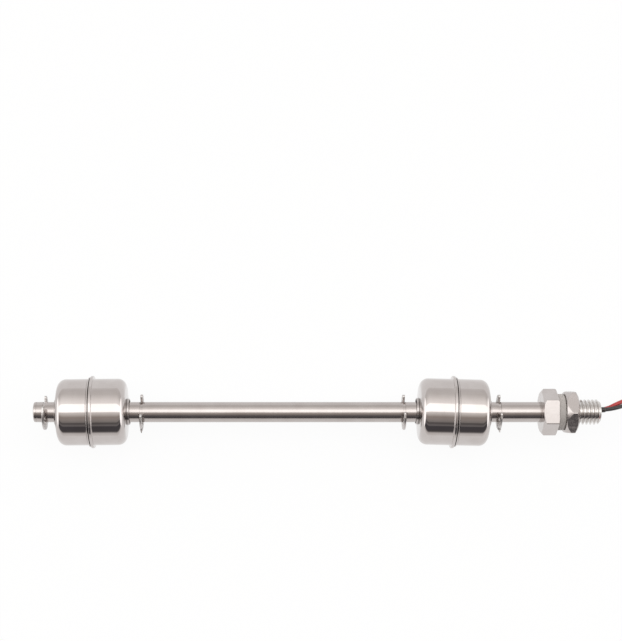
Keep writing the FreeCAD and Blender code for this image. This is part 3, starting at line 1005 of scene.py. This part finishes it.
def wire(name, points):
    """Insulated wire along one smooth open spline."""
    curve = bpy.data.curves.new(name, "CURVE")
    curve.dimensions = "3D"
    curve.bevel_depth = WIRE_DIAMETER / 2 * MM
    curve.bevel_resolution = 6
    curve.resolution_u = 8
    curve.use_fill_caps = True
    spline = curve.splines.new("NURBS")
    spline.points.add(len(points) - 1)
    for point, place in zip(spline.points, points):
        point.co = (*(value * MM for value in place), 1.0)
    spline.order_u = 3
    spline.use_endpoint_u = True
    spline.use_smooth = True
    thing = bpy.data.objects.new(name, curve)
    bpy.context.scene.collection.objects.link(thing)
    return thing


def tube_along(points, radius, sides):
    """Points and faces of a round, capped tube along a path."""
    points = [Vector(point) for point in points]
    vertices = []
    side_way = Vector((0, 0, 1))
    for index, point in enumerate(points):
        before = points[max(index - 1, 0)]
        after = points[min(index + 1, len(points) - 1)]
        ahead = (after - before).normalized()
        across = ahead.cross(side_way).normalized()
        upward = across.cross(ahead).normalized()
        for angle in angles_round(sides):
            vertices.append(point + across * radius * math.cos(angle) + upward * radius * math.sin(angle))
    faces = grid_faces(len(points), sides, False)
    last = (len(points) - 1) * sides
    faces.append(tuple(range(sides)))
    faces.append(tuple(range(last, last + sides)))
    return vertices, faces


def bare_strands(name, tail, seed):
    """Twisted strands of the bared conductor, which carry on from the wire's end."""
    start = Vector(tail[-1])
    ahead = (start - Vector(tail[-2])).normalized()
    across = ahead.cross(Vector((0, 0, 1))).normalized()
    upward = across.cross(ahead)
    vertices = []
    faces = []
    for strand in range(STRANDS_ROUND + 1):
        spread = 0.0 if strand == 0 else STRAND_LAY_RADIUS
        path = []
        length = STRAND_LENGTH - (0.12 * strand * seed) % 0.35
        for step in range(STRAND_STEPS + 1):
            along = -STRAND_HIDDEN + (length + STRAND_HIDDEN) * step / STRAND_STEPS
            angle = 2 * math.pi * (strand / STRANDS_ROUND + along / STRAND_PITCH)
            loose = 1.0 + 0.12 * max(0.0, along - 4.5)
            offset = across * math.cos(angle) + upward * math.sin(angle)
            path.append(start + ahead * along + offset * spread * loose)
        more, quads = tube_along(path, STRAND_RADIUS, sides=8)
        faces += [tuple(index + len(vertices) for index in quad) for quad in quads]
        vertices += more
    return finish_mesh(name, vertices, faces, 40)


red_strands = bare_strands("red_bare_strands", red_tail, 1)
black_strands = bare_strands("black_bare_strands", black_tail, 2)
red = wire("red_lead", red_points)
black = wire("black_lead", black_points)
add_piece(red_strands, "stem", "tinned_copper", "red_bare_end")
add_piece(black_strands, "stem", "tinned_copper", "black_bare_end")
add_piece(red, "stem", "red_insulation", "red_wire", "red_wire_tail", "wire_coil")
add_piece(black, "stem", "black_insulation", "black_wire", "black_wire_tail", "wire_coil")


def coil_band():
    """Soft tie round the turns on the far side of the coil."""
    inside = COIL_CENTRE[0] + TIE_INSIDE
    outside = COIL_CENTRE[0] + TIE_OUTSIDE
    top = FLOOR_Z + TIE_HEIGHT
    inner_bottom = FLOOR_Z + TIE_THICKNESS * 0.3
    outer = round_corners([
        (inside - TIE_THICKNESS, FLOOR_Z, 0.9, 6),
        (outside + TIE_THICKNESS, FLOOR_Z, 0.9, 6),
        (outside + TIE_THICKNESS, top + TIE_THICKNESS, 1.2, 6),
        (inside - TIE_THICKNESS, top + TIE_THICKNESS, 1.2, 6),
    ])
    inner = round_corners([
        (inside, inner_bottom, 0.7, 6),
        (outside, inner_bottom, 0.7, 6),
        (outside, top, 0.9, 6),
        (inside, top, 0.9, 6),
    ])
    section = round_corners([
        (-TIE_HALF_WIDTH, 0.0, 0.15, 3),
        (TIE_HALF_WIDTH, 0.0, 0.15, 3),
        (TIE_HALF_WIDTH, 1.0, 0.15, 3),
        (-TIE_HALF_WIDTH, 1.0, 0.15, 3),
    ])
    rings = []
    for along, share in section:
        ring = []
        for (near_x, near_z), (far_x, far_z) in zip(inner, outer):
            x = near_x + (far_x - near_x) * share
            z = near_z + (far_z - near_z) * share
            ring.append((x, COIL_CENTRE[1] + along, z))
        rings.append(ring)
    return mesh_of_rings("coil_tie_band", rings, True, 50)


add_piece(coil_band(), "stem", "tie_plastic", "coil_tie")


# Solids that stay, by the material that they get

CARRIED_OVER = {
    "circuit_board": ["circuit_strip"],
    "sleeve_plastic": ["insulating_sleeve"],
    "magnet_ferrite": ["lower_float_magnet", "upper_float_magnet"],
    "reed_glass": ["lower_reed_glass", "upper_reed_glass"],
    "reed_metal": [
        "lower_reed_lower_blade",
        "lower_reed_upper_blade",
        "upper_reed_lower_blade",
        "upper_reed_upper_blade",
    ],
    "red_insulation": ["red_inner_lead"],
    "black_insulation": ["black_inner_lead"],
}
for slot_name, names in CARRIED_OVER.items():
    for node_name in names:
        node = bpy.data.objects[node_name]
        for material_slot in node.material_slots:
            material_slot.material = finishes[slot_name]


# Table, light and camera

def table_top():
    """White table that keeps the object's shadow. It mostly glows plain white where it is seen
    directly, in the steel or through glass.
    """
    size = TABLE_HALF_SIZE
    z = FLOOR_Z - TOUCH_GAP
    corners = [(-size, -size, z), (size, -size, z), (size, size, z), (-size, size, z)]
    thing = finish_mesh("table_top", corners, [(0, 1, 2, 3)])
    material = bpy.data.materials.new("white_table")
    nodes = Nodes(material, "ShaderNodeOutputMaterial")
    paper = nodes.add("ShaderNodeBsdfDiffuse")
    nodes.put(paper.inputs["Color"], (0.92, 0.92, 0.92, 1.0))
    glow = nodes.add("ShaderNodeEmission")
    nodes.put(glow.inputs["Color"], (1.0, 1.0, 1.0, 1.0))
    nodes.put(glow.inputs["Strength"], 1.0)
    rays = nodes.add("ShaderNodeLightPath").outputs
    seen = nodes.maths("MAXIMUM", rays["Is Camera Ray"], rays["Is Glossy Ray"])
    seen = nodes.maths("MAXIMUM", seen, rays["Is Transmission Ray"])
    mix = nodes.add("ShaderNodeMixShader")
    nodes.put(mix.inputs[0], nodes.maths("MULTIPLY", seen, TABLE_GLOW))
    nodes.put(mix.inputs[1], paper.outputs[0])
    nodes.put(mix.inputs[2], glow.outputs[0])
    nodes.put(nodes.output.inputs["Surface"], mix.outputs[0])
    thing.data.materials.append(material)


# What the steel mirrors: the studio's brightness by the angle from straight up towards +Y
STUDIO = [
    # Light off the floor, up to the horizon
    (-180, (0.95, 0.94, 0.93)),
    (-90, (0.92, 0.91, 0.90)),
    (-79, (0.76, 0.74, 0.73)),
    # The unlit side
    (-73.5, (0.20, 0.19, 0.19)),
    (-70, (0.09, 0.085, 0.09)),
    (-52, (0.085, 0.080, 0.088)),
    (-48, (0.24, 0.225, 0.225)),
    (-44, (0.17, 0.16, 0.16)),
    (-39, (0.12, 0.11, 0.11)),
    # Grey ceiling that brightens towards the lamp
    (-35, (0.30, 0.28, 0.27)),
    (-26, (0.40, 0.36, 0.34)),
    (-18, (0.42, 0.37, 0.34)),
    (-12, (0.66, 0.62, 0.59)),
    (-7, (0.86, 0.82, 0.79)),
    (-2, (1.00, 0.97, 0.95)),
    # The soft lamp
    (1, (2.10, 2.10, 2.08)),
    (26.5, (2.10, 2.10, 2.08)),
    # The white wall behind the object, down to the floor
    (29.5, (1.42, 1.40, 1.38)),
    (40, (1.26, 1.23, 1.21)),
    (52, (1.02, 1.00, 0.98)),
    (64, (0.84, 0.82, 0.80)),
    (80, (0.80, 0.78, 0.77)),
    (90, (0.88, 0.87, 0.86)),
    (110, (0.93, 0.92, 0.91)),
    (180, (0.95, 0.94, 0.93)),
]
STUDIO_STRENGTH = 2.5

# The bright walls past the stem's two ends: how far along X they start and are full, and their light
END_WALL_EDGES = (0.83, 0.88)
END_WALL = 2.0


def studio():
    """World whose light is painted by direction."""
    world = bpy.data.worlds.new("studio")
    bpy.context.scene.world = world
    nodes = Nodes(world, "ShaderNodeOutputWorld")
    light = nodes.add("ShaderNodeBackground")
    nodes.put(light.inputs["Strength"], STUDIO_STRENGTH)
    nodes.put(nodes.output.inputs["Surface"], light.outputs[0])
    direction = nodes.add("ShaderNodeSeparateXYZ")
    nodes.put(direction.inputs[0], nodes.add("ShaderNodeTexCoord").outputs["Generated"])
    angle = nodes.maths("ARCTAN2", direction.outputs["Y"], direction.outputs["Z"])
    ramp = nodes.add("ShaderNodeValToRGB")
    nodes.put(ramp.inputs[0], nodes.remap(angle, -math.pi, math.pi))
    elements = ramp.color_ramp.elements
    while len(elements) > 1:
        elements.remove(elements[-1])
    for index, (degrees, colour) in enumerate(STUDIO):
        position = (degrees + 180) / 360
        element = elements[0] if index == 0 else elements.new(position)
        element.position = position
        element.color = (*(value / STUDIO_STRENGTH for value in colour), 1.0)
    sideways = nodes.maths("ABSOLUTE", direction.outputs["X"])
    wall_share = nodes.remap(sideways, *END_WALL_EDGES, smooth=True)
    wall = END_WALL / STUDIO_STRENGTH
    nodes.put(light.inputs["Color"], nodes.blend(wall_share, ramp.outputs[0], (wall, wall, wall)))


def camera():
    """Camera straight above, which shows the stem's axis where the photograph has it."""
    data = bpy.data.cameras.new("camera")
    data.sensor_width = SENSOR
    data.lens = SENSOR * PHOTO_SCALE * CAMERA_HEIGHT / PHOTO_HEIGHT
    data.shift_x = (PHOTO_WIDTH / 2 - LENS_PIXEL[0]) / PHOTO_HEIGHT
    data.shift_y = (LENS_PIXEL[1] - PHOTO_HEIGHT / 2) / PHOTO_HEIGHT
    thing = bpy.data.objects.new("camera", data)
    bpy.context.scene.collection.objects.link(thing)
    x = (LENS_PIXEL[0] - ORIGIN_PIXEL[0]) / PHOTO_SCALE
    thing.location = (x * MM, 0.0, CAMERA_HEIGHT * MM)
    bpy.context.scene.camera = thing


table_top()
studio()
camera()
bpy.context.scene.view_settings.view_transform = "Standard"
